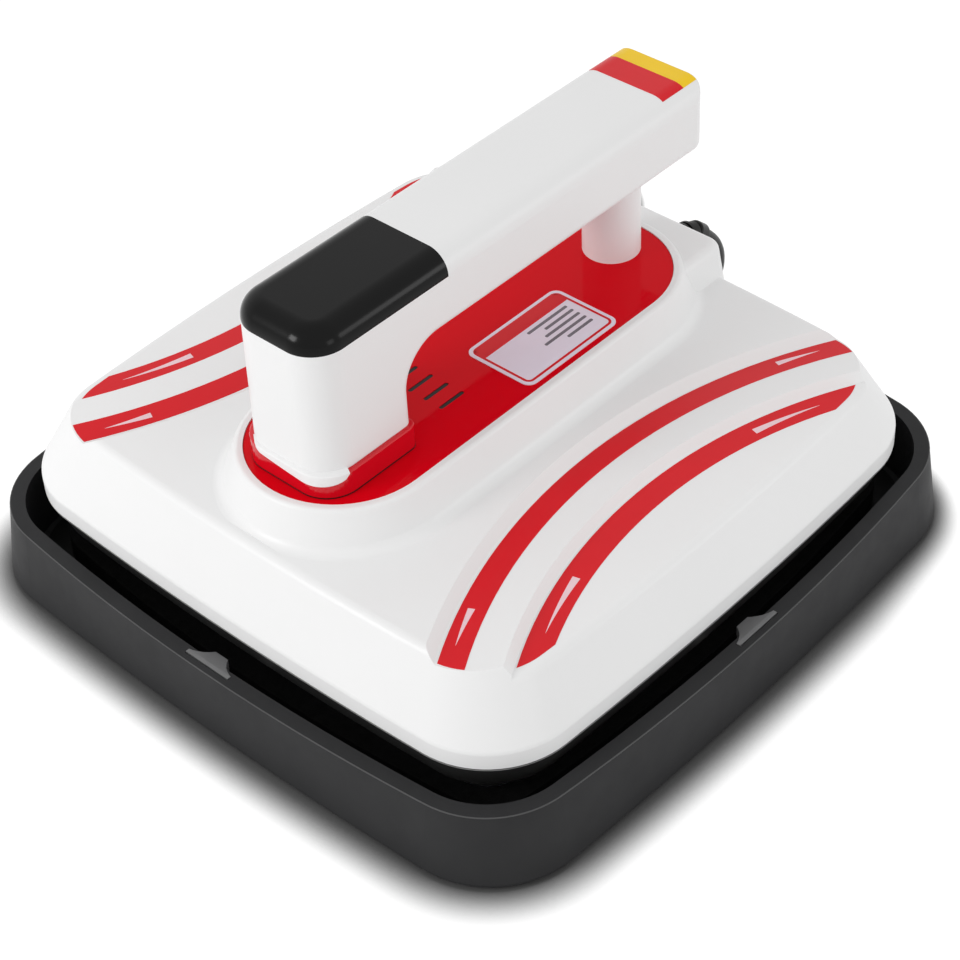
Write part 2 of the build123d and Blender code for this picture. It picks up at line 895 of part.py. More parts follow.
def panel_deck():
    body = slab(stadium(panel_half, 0, panel_bottom), panel_thickness)
    first = -(slot_count - 1) / 2 * slot_pitch
    for index in range(slot_count):
        opening = Pos(first + index * slot_pitch, slot_centre_y, panel_bottom) * Rot(0, 0, 90)
        body -= extrude(opening * SlotOverall(slot_length, slot_width), amount=panel_thickness)
    for cutter in deck_holes(panel_bottom, panel_thickness):
        body -= cutter
    return body - peg(0, post_y, panel_bottom, bolt_radius + hole_clearance, panel_thickness)


def rating_plate():
    outline = Pos(plate_x, plate_y, panel_top) * RectangleRounded(plate_width, plate_length, plate_radius)
    return extrude(outline, amount=plate_thickness)


# ---------------------------------------------------------------- handle
def grip_solid(inset):
    """The handle's whole outer form, leg and beam, moved in by an inset."""
    front = grip_front + inset
    foot_front = grip_front - grip_draft + inset
    foot = collar_top + inset
    top = grip_top - inset
    low = grip_bottom + inset
    behind = leg_rear - inset
    rear = grip_rear - inset
    half = grip_half - inset
    points = [(foot_front, foot), (behind, foot), (behind, low), (rear, low), (rear, top), (front, top)]
    side = make_face(Polyline(*points, close=True))
    side = soften(side, [(behind, low, throat_radius + inset)])
    body = extrude(Plane.YZ * side, amount=half, both=True)
    body = fillet(leading_edges(body, half, front), front_corner - inset)
    crown = [edge for edge in edges_at(body, top) if edge.center().Y < rear - 1]
    return fillet(crown, grip_top_round - inset)


def leading_edges(body, half, front):
    """The two upright edges of the leg's front."""
    chosen = []
    for edge in body.edges():
        middle = edge.center()
        if abs(middle.X) > half - 0.01 and middle.Y < front + 0.01:
            chosen.append(edge)
    return chosen


def throat_band(thickness, half, start, end):
    """A bent strip along the leg's rear, round the throat and along the beam's underside."""
    points = [
        (leg_rear, start),
        (leg_rear, grip_bottom),
        (end, grip_bottom),
        (end, grip_bottom + thickness),
        (leg_rear - thickness, grip_bottom + thickness),
        (leg_rear - thickness, start),
    ]
    face = make_face(Polyline(*points, close=True))
    inner = (leg_rear, grip_bottom, throat_radius)
    outer = (leg_rear - thickness, grip_bottom + thickness, throat_radius + thickness)
    face = soften(face, [inner, outer])
    return extrude(Plane.YZ * face, amount=half, both=True)


def cover_span(gap):
    """Height where the cover starts and the place where it ends, each moved out by a gap."""
    return collar_top + cover_foot_gap - gap, post_y - post_radius - cover_post_gap + gap


def cover_opening():
    start, end = cover_span(cover_clearance)
    recess = throat_band(cover_thickness, grip_half - cover_edge + cover_clearance, start, end)
    start, end = cover_span(-cover_ledge)
    return recess + throat_band(handle_wall + 1, grip_half - cover_edge - cover_ledge, start, end)


def handle_cover():
    start, end = cover_span(0)
    body = throat_band(cover_thickness, grip_half - cover_edge, start, end)
    for x, y in cover_screw_places():
        body -= peg(x, y, grip_bottom, cover_screw_radius + hole_clearance, cover_thickness)
    return body


def cover_screw_places():
    front = leg_rear + throat_radius + cover_screw_inset
    rear = cover_span(0)[1] - cover_screw_inset
    return [(0, front), (0, rear)]


def cover_screws():
    """Pan-headed screws from below into pegs that reach up to the beam's top wall."""
    screws = []
    for x, y in cover_screw_places():
        head = peg(x, y, grip_bottom - cover_screw_head_height, cover_screw_head, cover_screw_head_height)
        screws.append(head + peg(x, y, grip_bottom, cover_screw_radius, 2 * cover_thickness + bolt_grip / 2))
    return screws


def handle_bosses():
    """Screw bosses inside the handle, with their threads."""
    bosses = []
    outer = bolt_radius + bolt_boss_wall
    for x, y in leg_bolt_places():
        height = handle_wall + bolt_grip
        bosses.append(peg(x, y, collar_top, outer, height) - peg(x, y, collar_top, bolt_radius, height))
    height = handle_wall + bolt_grip
    ring = peg(0, post_y, grip_bottom, outer, height)
    bosses.append(ring - peg(0, post_y, grip_bottom, bolt_radius, height))
    for x, y in cover_screw_places():
        low = grip_bottom + cover_thickness
        pillar = peg(x, y, low, 2 * cover_screw_radius, cavity_top - low)
        bosses.append(pillar - peg(x, y, low, cover_screw_radius, cover_thickness + bolt_grip / 2))
    return bosses


def cap_zone():
    """The space that the display cap takes from the grip."""
    length = cap_rear - grip_front + front_corner
    middle = cap_rear - length / 2
    return block(0, middle, cap_bottom, 3 * grip_half, length, 2 * cap_drop)


def handle_shell():
    body = grip_solid(0) & rear_prism(rear_corner)
    body = fillet(rear_edges(body), rear_edge_round)
    body = fillet(lower_edges(body), grip_low_round)
    body -= grip_solid(handle_wall)
    body -= cap_zone()
    body -= cover_opening()
    for x, y in leg_bolt_places():
        body -= peg(x, y, collar_top, bolt_radius, handle_wall)
    body -= peg(0, leg_centre(), collar_top, wire_hole, handle_wall)
    body -= peg(0, post_y, grip_bottom, bolt_radius, handle_wall)
    for boss in handle_bosses():
        body += boss
    return body


def rear_prism(radius):
    """Upright prism, a hair wider than the beam, whose two rounded corners trim the beam's rear end."""
    half = grip_half + trim_ease
    front = grip_front - front_corner
    points = [(-half, grip_rear), (half, grip_rear), (half, front), (-half, front)]
    face = make_face(Polyline(*points, close=True))
    face = soften(face, [(-half, grip_rear, radius), (half, grip_rear, radius)])
    return extrude(Pos(0, 0, panel_top) * face, amount=grip_top)


def lower_edges(body):
    """The edges down the leg's rear, round the throat and along the beam's lower sides."""
    chosen = []
    for edge in body.edges():
        middle = edge.center()
        on_side = abs(abs(middle.X) - grip_half) < 0.6
        behind_leg = middle.Y > leg_rear - 0.1 and middle.Z < grip_bottom + 0.1
        if on_side and behind_leg and middle.Z > collar_top + 0.1:
            chosen.append(edge)
    return chosen


def rear_edges(body):
    """The outline of the beam's rear end, seen from above."""
    reach = grip_rear - rear_corner - 0.5
    crown = grip_top - grip_top_round - 0.1
    chosen = []
    for edge in body.edges():
        middle = edge.center()
        if middle.Y > reach and middle.Z > crown and edge.bounding_box().size.Z < grip_top_round:
            chosen.append(edge)
    return chosen


def collar_outline(z):
    """The collar in plan, with the leg's own corner radii."""
    half = grip_half + collar_flare
    front = grip_front - grip_draft - collar_flare / 2
    rear = leg_rear + collar_flare / 2
    points = [(-half, front), (half, front), (half, rear), (-half, rear)]
    face = make_face(Polyline(*points, close=True))
    fronts = [(-half, front, front_corner), (half, front, front_corner)]
    rears = [(-half, rear, grip_low_round), (half, rear, grip_low_round)]
    return Pos(0, 0, z) * soften(face, fronts + rears)


def leg_collar():
    body = slab(collar_outline(panel_top), collar_height)
    body = fillet(edges_at(body, collar_top), collar_round)
    for cutter in deck_holes(panel_top, collar_height):
        body -= cutter
    return body


def lip_outline(z):
    """The lip in plan, as wide as the leg and a little ahead of the collar."""
    front = grip_front - grip_draft - collar_flare / 2 - lip_proud
    rear = grip_front + front_corner
    points = [(-grip_half, front), (grip_half, front), (grip_half, rear), (-grip_half, rear)]
    face = make_face(Polyline(*points, close=True))
    fronts = [(-grip_half, front, lip_corner), (grip_half, front, lip_corner)]
    return Pos(0, 0, z) * soften(face, fronts)


def handle_lip():
    """A thin lip at the foot of the leg's front that laps over the collar."""
    body = slab(lip_outline(collar_top - lip_overlap), lip_overlap + lip_rise)
    return body - slab(collar_outline(panel_top), collar_height) - grip_solid(0)


def rear_post():
    height = grip_bottom - panel_top
    body = peg(0, post_y, panel_top, post_radius, height)
    return body - peg(0, post_y, panel_top, post_radius - post_wall, height)


def bolt(x, y, top):
    """A bolt whose head bears on the deck's underside."""
    shank = peg(x, y, panel_bottom, bolt_radius, top - panel_bottom)
    return shank + peg(x, y, panel_bottom - bolt_head_height, bolt_head, bolt_head_height)


def leg_bolts():
    return [bolt(x, y, collar_top + bolt_grip) for x, y in leg_bolt_places()]


def post_bolt():
    return bolt(0, post_y, grip_bottom + bolt_grip)


# ---------------------------------------------------------------- display end
def display_cap():
    return (grip_solid(0) - grip_solid(cap_thickness)) & cap_zone()


def display_module():
    return block(0, display_y, display_bottom, display_width, display_length, display_thickness)


def control_board():
    return block(0, display_y, board_bottom, board_width, board_length, board_thickness)


def touch_springs():
    """Small contact springs between the board and the cap's touch keys."""
    springs = []
    first = -(spring_count - 1) / 2 * spring_pitch
    for index in range(spring_count):
        x = first + index * spring_pitch
        springs.append(peg(x, spring_y, display_bottom, spring_radius, display_thickness))
    return springs


def buzzer():
    return peg(0, display_y - buzzer_offset, board_bottom - buzzer_height, buzzer_radius, buzzer_height)


def sticker(front, rear):
    """A film over the beam's top that laps round its side edges."""
    zone = block(0, (front + rear) / 2, cap_bottom, 2 * sticker_half, rear - front, 2 * cap_drop)
    return (grip_solid(-sticker_film) - grip_solid(0)) & zone


# ---------------------------------------------------------------- electrical parts
def power_board():
    body = block(0, power_board_y, power_board_z, power_board_width, power_board_length, board_thickness)
    reach_x = power_board_width / 2 - board_leg_inset
    reach_y = power_board_length / 2 - board_leg_inset
    for x in (-reach_x, reach_x):
        for y in (power_board_y - reach_y, power_board_y + reach_y):
            body += peg(x, y, shield_top, board_leg_radius, power_board_lift)
    return body


def heat_sink():
    z = power_board_z + board_thickness
    y = power_board_y - power_board_length / 2 + heat_sink_depth / 2
    body = block(0, y, z, heat_sink_width, heat_sink_depth, heat_sink_base)
    pitch = (heat_sink_width - fin_thickness) / (fin_count - 1)
    for index in range(fin_count):
        x = -heat_sink_width / 2 + fin_thickness / 2 + index * pitch
        body += block(x, y, z, fin_thickness, heat_sink_depth, heat_sink_height)
    return body


def handle_harness():
    low = power_board_z + board_thickness
    return peg(0, leg_centre(), low, harness_radius, board_bottom - low)


def terminal_block():
    body = block(0, block_y, shield_top, block_width, block_depth, block_height)
    for x in (-block_width / 4, block_width / 4):
        way = Pos(x, block_y, shield_top + block_height / 2) * Rot(90, 0, 0)
        body -= way * Cylinder(block_way, block_depth)
    return body


def flange_front():
    return boss_inner_rear - relief_flange


def cord_clamp():
    """A bar across the boss, hung from its roof, that grips the lead."""
    y = flange_front() - clamp_gap - clamp_depth / 2
    low = relief_z - cord_radius - clamp_height
    body = block(relief_x, y, low, clamp_width, clamp_depth, boss_top - shell_wall - low)
    groove = Pos(relief_x, y, relief_z) * Rot(90, 0, 0) * Cylinder(cord_radius, clamp_depth)
    return body - groove


def inner_lead():
    """The lead inside the boss, from the sleeve's flange through the clamp."""
    length = clamp_gap + clamp_depth + clamp_gap
    middle = flange_front() - length / 2
    return Pos(relief_x, middle, relief_z) * Rot(90, 0, 0) * Cylinder(cord_radius, length)


# ---------------------------------------------------------------- mains lead
def tilted(degrees):
    """Direction to the rear, nose down."""
    tilt = math.radians(degrees)
    return Vector(0, math.cos(tilt), -math.sin(tilt))


def relief_root():
    return Vector(relief_x, boss_rear, relief_z)


def relief_elbow():
    return relief_root() + tilted(relief_root_tilt) * relief_root_length


def relief_tip():
    return relief_elbow() + tilted(relief_tip_tilt) * relief_tip_length


def relief_stub():
    """The part of the sleeve in the boss's rear wall, with its inner flange."""
    nose = relief_root_radius * math.sin(math.radians(relief_root_tilt))
    through = relief_flange + shell_wall + nose
    lying = Rot(90, 0, 0)
    stub = Pos(relief_x, boss_rear + nose - through / 2, relief_z) * lying
    flange = Pos(relief_x, boss_inner_rear - relief_flange / 2, relief_z) * lying
    body = stub * Cylinder(relief_root_radius, through)
    return body + flange * Cylinder(relief_flange_radius, relief_flange)


def strain_relief():
    """A sleeve through the boss's rear wall: a ribbed taper outside, then a thicker end bent down."""
    direction = tilted(relief_root_tilt)
    inside = Plane(origin=relief_root() - direction * shell_wall, z_dir=direction)
    elbow = Plane(origin=relief_elbow(), z_dir=direction)
    wide = inside * Circle(relief_root_radius - relief_step)
    body = relief_stub() + loft([wide, elbow * Circle(relief_neck_radius)], ruled=True)
    pitch = relief_root_length / (relief_ribs + 2)
    for index in range(relief_ribs):
        station = (index + 1) * pitch
        place = Plane(origin=relief_root() + direction * station, z_dir=direction)
        body += extrude(place * Circle(relief_root_radius + relief_rib_proud), amount=relief_rib_width)
    end = Plane(origin=relief_elbow(), z_dir=tilted(relief_tip_tilt))
    head = extrude(end * Circle(relief_tip_radius), amount=relief_tip_length)
    return body + fillet(head.edges().filter_by(GeomType.CIRCLE), relief_tip_round)


def corner_radii(points):
    """The largest arc at each inner point: 0.45 of the shorter run over the tangent of half the turn."""
    radii = []
    for index in range(1, len(points) - 1):
        before = points[index] - points[index - 1]
        after = points[index + 1] - points[index]
        half_turn = math.radians(before.get_angle(after) / 2)
        radii.append(0.45 * min(before.length, after.length) / math.tan(half_turn))
    return radii


def tube(name, points):
    """A cord's tube along straight runs and tangent arcs."""
    radii = corner_radii(points)
    print(name, "radii", [round(radius, 1) for radius in radii])
    path = FilletPolyline(*points, radius=radii)
    section = Plane(origin=path @ 0, z_dir=path % 0) * Circle(cord_radius)
    body = sweep(section, path=path)
    ratio = body.volume / (section.area * path.length)
    print(name, "length", round(path.length, 1), "volume ratio", round(ratio, 4))
    return body


def coil_solid():
    """The outer shape of the gathered turns."""
    half_width = coil_columns * cord_radius
    height = coil_layers * cord_diameter
    ring = peg(coil_x, coil_y, 0, coil_mid_radius + half_width, height)
    ring -= peg(coil_x, coil_y, 0, coil_mid_radius - half_width, height)
    return fillet(edges_at(ring, 0) + edges_at(ring, height), coil_round)


def mains_cord():
    points = [relief_tip()] + [Vector(*point) for point in lead_points]
    return tube("lead", points)


def mains_cord_tail():
    return tube("tail", [Vector(*point) for point in tail_points])


def plug_plane(distance):
    """Plane square to the plug's axis, a distance along it from the end of the tail."""
    end = Vector(*tail_points[-1])
    direction = (end - Vector(*tail_points[-2])).normalized()
    return Plane(origin=end + direction * distance, x_dir=(direction.Y, -direction.X, 0), z_dir=direction)


def plug_body():
    neck = extrude(plug_plane(0) * Circle(plug_neck_radius), amount=plug_neck)
    waist = plug_plane(plug_neck) * RectangleRounded(plug_waist, plug_waist, plug_round)
    shoulder = plug_plane(plug_neck + plug_length / 3) * RectangleRounded(plug_width, plug_height, plug_round)
    body = neck + loft([waist, shoulder], ruled=True)
    body += extrude(shoulder, amount=plug_length * 2 / 3)
    for cutter in plug_pins():
        body -= cutter
    return body


def plug_pins():
    """Two flat live pins and a round earth pin, buried a little in the plug's face."""
    place = plug_plane(plug_neck + plug_length - pin_bury)
    length = pin_bury + pin_length
    pins = []
    for x in (-pin_pitch / 2, pin_pitch / 2):
        blade = place * Pos(x, earth_drop / 3) * Rectangle(pin_thickness, pin_width)
        pins.append(extrude(blade, amount=length))
    pins.append(extrude(place * Pos(0, -earth_drop) * Circle(earth_radius), amount=length))
    return pins


# ---------------------------------------------------------------- write the pieces
def pieces():
    """Every node with its solid or solids."""
    stickers = {
        "sticker_red": sticker(sticker_front, sticker_change),
        "sticker_yellow": sticker(sticker_change, sticker_rear),
    }
    makers = [
        base_tray, base_feet, base_liner, insulation_mat, base_screws,
        heating_platen, heating_element, element_terminals, insulation_blanket, heat_shield,
        platen_standoffs, platen_screws, thermostat, temperature_sensor, thermal_fuse,
        lower_skirt, top_shell, stripe_decals, panel_deck, rating_plate,
        leg_collar, handle_shell, handle_cover, handle_lip, cover_screws, rear_post,
        leg_bolts, post_bolt, display_cap, display_module, control_board, touch_springs, buzzer,
        power_board, heat_sink, handle_harness, terminal_block, cord_clamp, inner_lead,
        strain_relief, mains_cord, mains_cord_tail, plug_body, plug_pins,
    ]
    found = {maker.__name__: maker() for maker in makers}
    found["guide_tabs"] = around(guide_tab())
    found["mains_cord_coil"] = coil_solid()
    found.update(stickers)
    return found


def main():
    os.makedirs("parts", exist_ok=True)
    for name, shape in pieces().items():
        if isinstance(shape, list):
            shape = Compound(children=[Part(item.wrapped) for item in shape])
        export_step(shape, os.path.join("parts", name + ".step"))


main()
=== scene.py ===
import json
import math

import bmesh
import bpy
from mathutils import Matrix, Vector
from mathutils.bvhtree import BVHTree


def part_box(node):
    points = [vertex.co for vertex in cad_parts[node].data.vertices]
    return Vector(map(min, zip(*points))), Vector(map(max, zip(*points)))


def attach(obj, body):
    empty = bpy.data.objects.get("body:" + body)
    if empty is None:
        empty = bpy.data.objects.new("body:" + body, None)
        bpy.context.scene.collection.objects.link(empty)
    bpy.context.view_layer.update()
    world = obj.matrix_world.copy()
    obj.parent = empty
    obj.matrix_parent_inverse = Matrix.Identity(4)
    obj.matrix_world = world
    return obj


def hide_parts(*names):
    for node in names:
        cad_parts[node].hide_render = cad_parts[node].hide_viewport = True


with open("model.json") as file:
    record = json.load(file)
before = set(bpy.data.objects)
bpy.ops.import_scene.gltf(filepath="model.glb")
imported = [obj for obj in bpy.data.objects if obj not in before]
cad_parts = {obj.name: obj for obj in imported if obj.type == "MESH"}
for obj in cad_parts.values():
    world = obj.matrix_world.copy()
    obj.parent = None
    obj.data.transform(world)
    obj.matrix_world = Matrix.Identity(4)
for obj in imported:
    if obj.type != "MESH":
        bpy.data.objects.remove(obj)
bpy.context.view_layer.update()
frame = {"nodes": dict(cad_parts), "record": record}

nodes = frame["nodes"]
# Sizes below are in millimetres and angles in degrees, unless a comment says otherwise.
MM = 0.001


def smooth(share):
    """A share of 0 to 1, eased at both ends."""
    return share * share * (3 - 2 * share)


# ---------------------------------------------------------------- camera
CAMERA_ANGLES = (44.278, 41.214, -3.238)    # azimuth, elevation and roll
CAMERA_TARGET = (14.14, -9.22, 41.1)
CAMERA_DISTANCE = 933.9
CAMERA_NEAR = 10.0
CAMERA_LENS = 89.22
CAMERA_SENSOR = 36


def place_camera():
    """A long lens from the front right, a little rolled, aimed at the handle."""
    azimuth, elevation, roll = (math.radians(a) for a in CAMERA_ANGLES)
    back = Vector((
        math.sin(azimuth) * math.cos(elevation),
        -math.cos(azimuth) * math.cos(elevation),
        math.sin(elevation),
    ))
    level = Vector((math.cos(azimuth), math.sin(azimuth), 0))
    upright = back.cross(level)
    right = math.cos(roll) * level + math.sin(roll) * upright
    up = math.cos(roll) * upright - math.sin(roll) * level
    target = Vector(CAMERA_TARGET) * MM
    data = bpy.data.cameras.new("camera")
    data.lens = CAMERA_LENS
    data.sensor_width = CAMERA_SENSOR
    data.clip_start = CAMERA_NEAR * MM
    camera = bpy.data.objects.new("camera", data)
    bpy.context.scene.collection.objects.link(camera)
    turn = Matrix((right, up, back)).transposed().to_4x4()
    camera.matrix_world = Matrix.Translation(target + back * CAMERA_DISTANCE * MM) @ turn
    bpy.context.scene.camera = camera


# ---------------------------------------------------------------- materials
NOISE_MIDDLE = (0.2, 0.8)   # the part of a noise's values that is spread over a range
BLOTCH_ENDS = (0.25, 0.75)  # the noise values where the darker and the lighter shade are full
SMUDGE_SHARE = 0.4          # a smudge's size against a blotch's
FINE_DETAIL = 2.0
SMUDGE_DETAIL = 3.0


def link(tree, a, out, b, into):
    """Join output out of node a to input into of node b."""
    tree.links.new(a.outputs[out], b.inputs[into])


def noise(tree, coords, size, detail, stretch):
    """A noise whose blobs are about size metres across, stretched along the object's axes."""
    mapping = tree.nodes.new("ShaderNodeMapping")
    mapping.inputs["Scale"].default_value = stretch
    link(tree, coords, "Object", mapping, "Vector")
    node = tree.nodes.new("ShaderNodeTexNoise")
    node.inputs["Scale"].default_value = 1 / size
    node.inputs["Detail"].default_value = detail
    link(tree, mapping, "Vector", node, "Vector")
    return node


def ranged(tree, node, low, high):
    """The noise's middle part spread smoothly over low to high."""
    spread = tree.nodes.new("ShaderNodeMapRange")
    spread.interpolation_type = "SMOOTHERSTEP"
    spread.inputs["From Min"].default_value = NOISE_MIDDLE[0]
    spread.inputs["From Max"].default_value = NOISE_MIDDLE[1]
    spread.inputs["To Min"].default_value = low
    spread.inputs["To Max"].default_value = high
    link(tree, node, "Fac", spread, "Value")
    return spread


def shades(colour, change):
    """A darker and a lighter shade of a colour, with their alpha."""
    darker = tuple(c * (1 - change) for c in colour)
    lighter = tuple(min(1.0, c * (1 + change)) for c in colour)
    return (*darker, 1), (*lighter, 1)


def material(name, colour, change, blotch, rough, rough_change, grain, height, **own):
    """A moulded, printed or metal surface: blotches of colour, uneven gloss and a fine grain.

    blotch and grain are sizes and height is a height, in millimetres, and own holds the
    shader's own values. stretch gives the blotches and the grain a direction.
    """
    mat = bpy.data.materials.new(name)
    mat.use_nodes = True
    tree = mat.node_tree
    shader = tree.nodes["Principled BSDF"]
    coords = tree.nodes.new("ShaderNodeTexCoord")
    stretch = own.pop("stretch", (1, 1, 1))
    ramp = tree.nodes.new("ShaderNodeValToRGB")
    ramp.color_ramp.interpolation = "EASE"
    stops = zip(ramp.color_ramp.elements, BLOTCH_ENDS, shades(colour, change))
    for stop, position, shade in stops:
        stop.position = position
        stop.color = shade
    link(tree, noise(tree, coords, blotch * MM, FINE_DETAIL, stretch), "Fac", ramp, "Fac")
    link(tree, ramp, "Color", shader, "Base Color")
    smudge = noise(tree, coords, SMUDGE_SHARE * blotch * MM, SMUDGE_DETAIL, stretch)
    gloss = ranged(tree, smudge, rough - rough_change, rough + rough_change)
    link(tree, gloss, "Result", shader, "Roughness")
    bump = tree.nodes.new("ShaderNodeBump")
    bump.inputs["Strength"].default_value = 1.0
    bump.inputs["Distance"].default_value = height * MM
    link(tree, noise(tree, coords, grain * MM, FINE_DETAIL, stretch), "Fac", bump, "Height")
    link(tree, bump, "Normal", shader, "Normal")
    for socket, value in own.items():
        shader.inputs[socket.replace("_", " ")].default_value = value
    return mat


def make_materials():
    """One material for each of the record's slots, then those of the Blender pieces.

    The numbers after a colour are its change, the blotches' size, the roughness and its
    change, and the grain's size and height.
    """
    return {
        "white_shell": material(
            "white_plastic", (0.80, 0.80, 0.80), 0.008, 70, 0.36, 0.015, 2.2, 0.003,
            Specular_IOR_Level=0.35),
        "tray_grey": material(
            "tray_plastic", (0.026, 0.026, 0.027), 0.06, 22, 0.55, 0.03, 0.45, 0.015,
            Specular_IOR_Level=0.12),
        "tab_grey": material(
            "tab_plastic", (0.15, 0.15, 0.152), 0.06, 9, 0.42, 0.03, 0.45, 0.015,
            Specular_IOR_Level=0.40),
        "skirt_black": material(
            "skirt_plastic", (0.022, 0.022, 0.022), 0.10, 15, 0.40, 0.04, 0.5, 0.01,
            Specular_IOR_Level=0.20),
        "foot_rubber": material(
            "foot_rubber", (0.018, 0.018, 0.018), 0.12, 5, 0.80, 0.06, 0.4, 0.03),
        "liner_black": material(
            "coated_sheet", (0.004, 0.004, 0.004), 0.10, 20, 0.50, 0.04, 0.8, 0.008,
            Specular_IOR_Level=0.15),
        "mat_fibre": material(
            "mat_fibre", (0.006, 0.006, 0.006), 0.25, 4, 0.92, 0.04, 0.5, 0.15,
            Specular_IOR_Level=0.10),
        "plate_metal": material(
            "machined_aluminium", (0.75, 0.76, 0.77), 0.04, 12, 0.32, 0.05, 0.6, 0.006,
            Metallic=1.0, stretch=(0.06, 1, 1)),
        "steel": material(
            "steel", (0.58, 0.58, 0.58), 0.05, 8, 0.34, 0.06, 0.5, 0.006,
            Metallic=1.0),
        "fibre_white": material(
            "ceramic_fibre", (0.74, 0.72, 0.66), 0.08, 4, 0.95, 0.03, 0.7, 0.2,
            Sheen_Weight=0.3, Sheen_Roughness=0.7),
        "ceramic": material(
            "ceramic", (0.80, 0.79, 0.75), 0.03, 3, 0.40, 0.05, 0.4, 0.01),
        "board_green": material(
            "circuit_board", (0.025, 0.16, 0.065), 0.12, 3, 0.36, 0.06, 0.5, 0.02),
        "component_black": material(
            "component", (0.025, 0.025, 0.025), 0.10, 3, 0.45, 0.06, 0.3, 0.01),
        "red_gloss": material(
            "deck_red", (0.66, 0.001, 0.008), 0.02, 40, 0.05, 0.008, 6.0, 0.002,
            Specular_IOR_Level=0.06),
        "red_film": material(
            "film_red", (0.64, 0.003, 0.010), 0.02, 16, 0.32, 0.02, 1.2, 0.003,
            Specular_IOR_Level=0.25),
        "yellow_film": material(
            "film_yellow", (0.86, 0.56, 0.008), 0.02, 10, 0.32, 0.02, 1.2, 0.003,
            Specular_IOR_Level=0.25),
        "label_white": material(
            "label_film", (0.78, 0.74, 0.84), 0.010, 14, 0.36, 0.02, 1.0, 0.003,
            Specular_IOR_Level=0.30),
        "cap_black": material(
            "cap_black", (0.0015, 0.0015, 0.0015), 0.05, 30, 0.19, 0.01, 5.0, 0.002,
            Specular_IOR_Level=0.16),
        "cord_black": material(
            "cord_sheath", (0.004, 0.004, 0.004), 0.10, 6, 0.36, 0.03, 0.4, 0.010,
            Specular_IOR_Level=0.25),
        "brass": material(
            "brass", (0.80, 0.58, 0.26), 0.05, 6, 0.28, 0.05, 0.5, 0.005,
            Metallic=1.0),
        "accent": material(
            "pale_print", (0.80, 0.56, 0.60), 0.03, 8, 0.30, 0.04, 1.2, 0.004),
        "bar_grey": material(
            "grey_print", (0.16, 0.15, 0.18), 0.05, 4, 0.40, 0.04, 0.8, 0.003),
        "collar_red": material(
            "collar_red", (0.60, 0.003, 0.012), 0.02, 24, 0.10, 0.01, 6.0, 0.002,
            Specular_IOR_Level=0.45),
        # painted shade: this dark red colours a ring at the collar's foot, in place of the
        # shadow line where the collar meets the deck
        "contact_shade": material(
            "contact_shade_dark", (0.05, 0.001, 0.002), 0.05, 8, 0.50, 0.03, 0.8, 0.003),
        # painted highlight: this lighter grey colours a line along the tray rim's rounded outer
        # edge, in place of its shine
        "bead": material(
            "tray_edge_highlight", (0.070, 0.070, 0.071), 0.06, 22, 0.45, 0.03, 0.6, 0.005,
            Specular_IOR_Level=0.30),
        # painted highlight: this light grey colours a fine line near the skirt's top, in place
        # of the shine on its upper edge
        "skirt_bead": material(
            "skirt_edge_highlight", (0.20, 0.20, 0.20), 0.06, 22, 0.45, 0.03, 0.6, 0.005,
            Specular_IOR_Level=0.30),
    }


def dress(obj, mat):
    """Give a piece its material."""
    obj.data.materials.clear()
    obj.data.materials.append(mat)


def dress_nodes(finish):
    """Give each CAD node the material of its own slot."""
    for part in frame["record"]["subparts"]:
        slot = part["material_slot"]
        obj = nodes[part["node"]]
        obj.data.materials.clear()
        obj.data.materials.append(finish[slot])


# ---------------------------------------------------------------- mains cord
CORD = 6.0 * MM             # its diameter, in metres
CORD_SMOOTH = 6             # steps along each piece of the curve, and round its side
COIL_CENTRE = (-124.7, 194.2)
RELIEF_TIP = (4.0, 142.9, 70.4)
LEAD = [
    (4.0, 148.2, 65.9),
    (4.0, 154.2, 57.0),
    (2.6, 157.2, 45.5),
    (-2.0, 158.4, 32.5),
    (-8.0, 159.2, 19.5),
    (-16.5, 159.4, 9.4),
    (-28.5, 159.2, 3.9),
    (-44.5, 158.6, 3.0),
    (-73.0, 157.4, 3.0),
    (-100.0, 156.8, 3.0),
]
TAIL = [
    (-160.2, 207.0, 10.0),
    (-156.8, 219.0, 12.0),
    (-153.8, 230.5, 12.0),
]
# Each turn's distance from the coil's middle and its height: in along the floor, then out
# on top of itself.
TURNS = [(37.0, 3.0), (30.95, 3.0), (24.9, 3.0), (24.9, 9.05), (30.95, 9.05), (37.0, 9.05)]
TURN_LENGTH = 0.93          # of a full turn, before the cord moves on to its next place
SHIFT = 0.07                # of a full turn on each side of such a move
TURNS_IN_ALL = 5.25
STEPS = 20                  # points in a full turn


def coil_place(turn):
    """The cord's distance from the coil's middle and its height, some turns from the start."""
    index = min(int(turn / TURN_LENGTH + 0.5), len(TURNS) - 1)
    if index == 0:
        return TURNS[0]
    share = (turn - index * TURN_LENGTH + SHIFT) / (2 * SHIFT)
    share = smooth(max(0.0, min(1.0, share)))
    before, after = TURNS[index - 1], TURNS[index]
    return tuple(a + share * (b - a) for a, b in zip(before, after))


def coil_points():
    """The turns, clockwise from above, from the coil's near side round to its left side."""
    points = []
    swell = 1 / math.cos(math.pi / STEPS)   # the curve runs inside its points by this much
    for step in range(1, round(TURNS_IN_ALL * STEPS) + 1):
        turn = step / STEPS
        radius, z = coil_place(turn)
        angle = math.radians(-90) - 2 * math.pi * turn
        x = COIL_CENTRE[0] + swell * radius * math.cos(angle)
        y = COIL_CENTRE[1] + swell * radius * math.sin(angle)
        points.append((x, y, z))
    return points


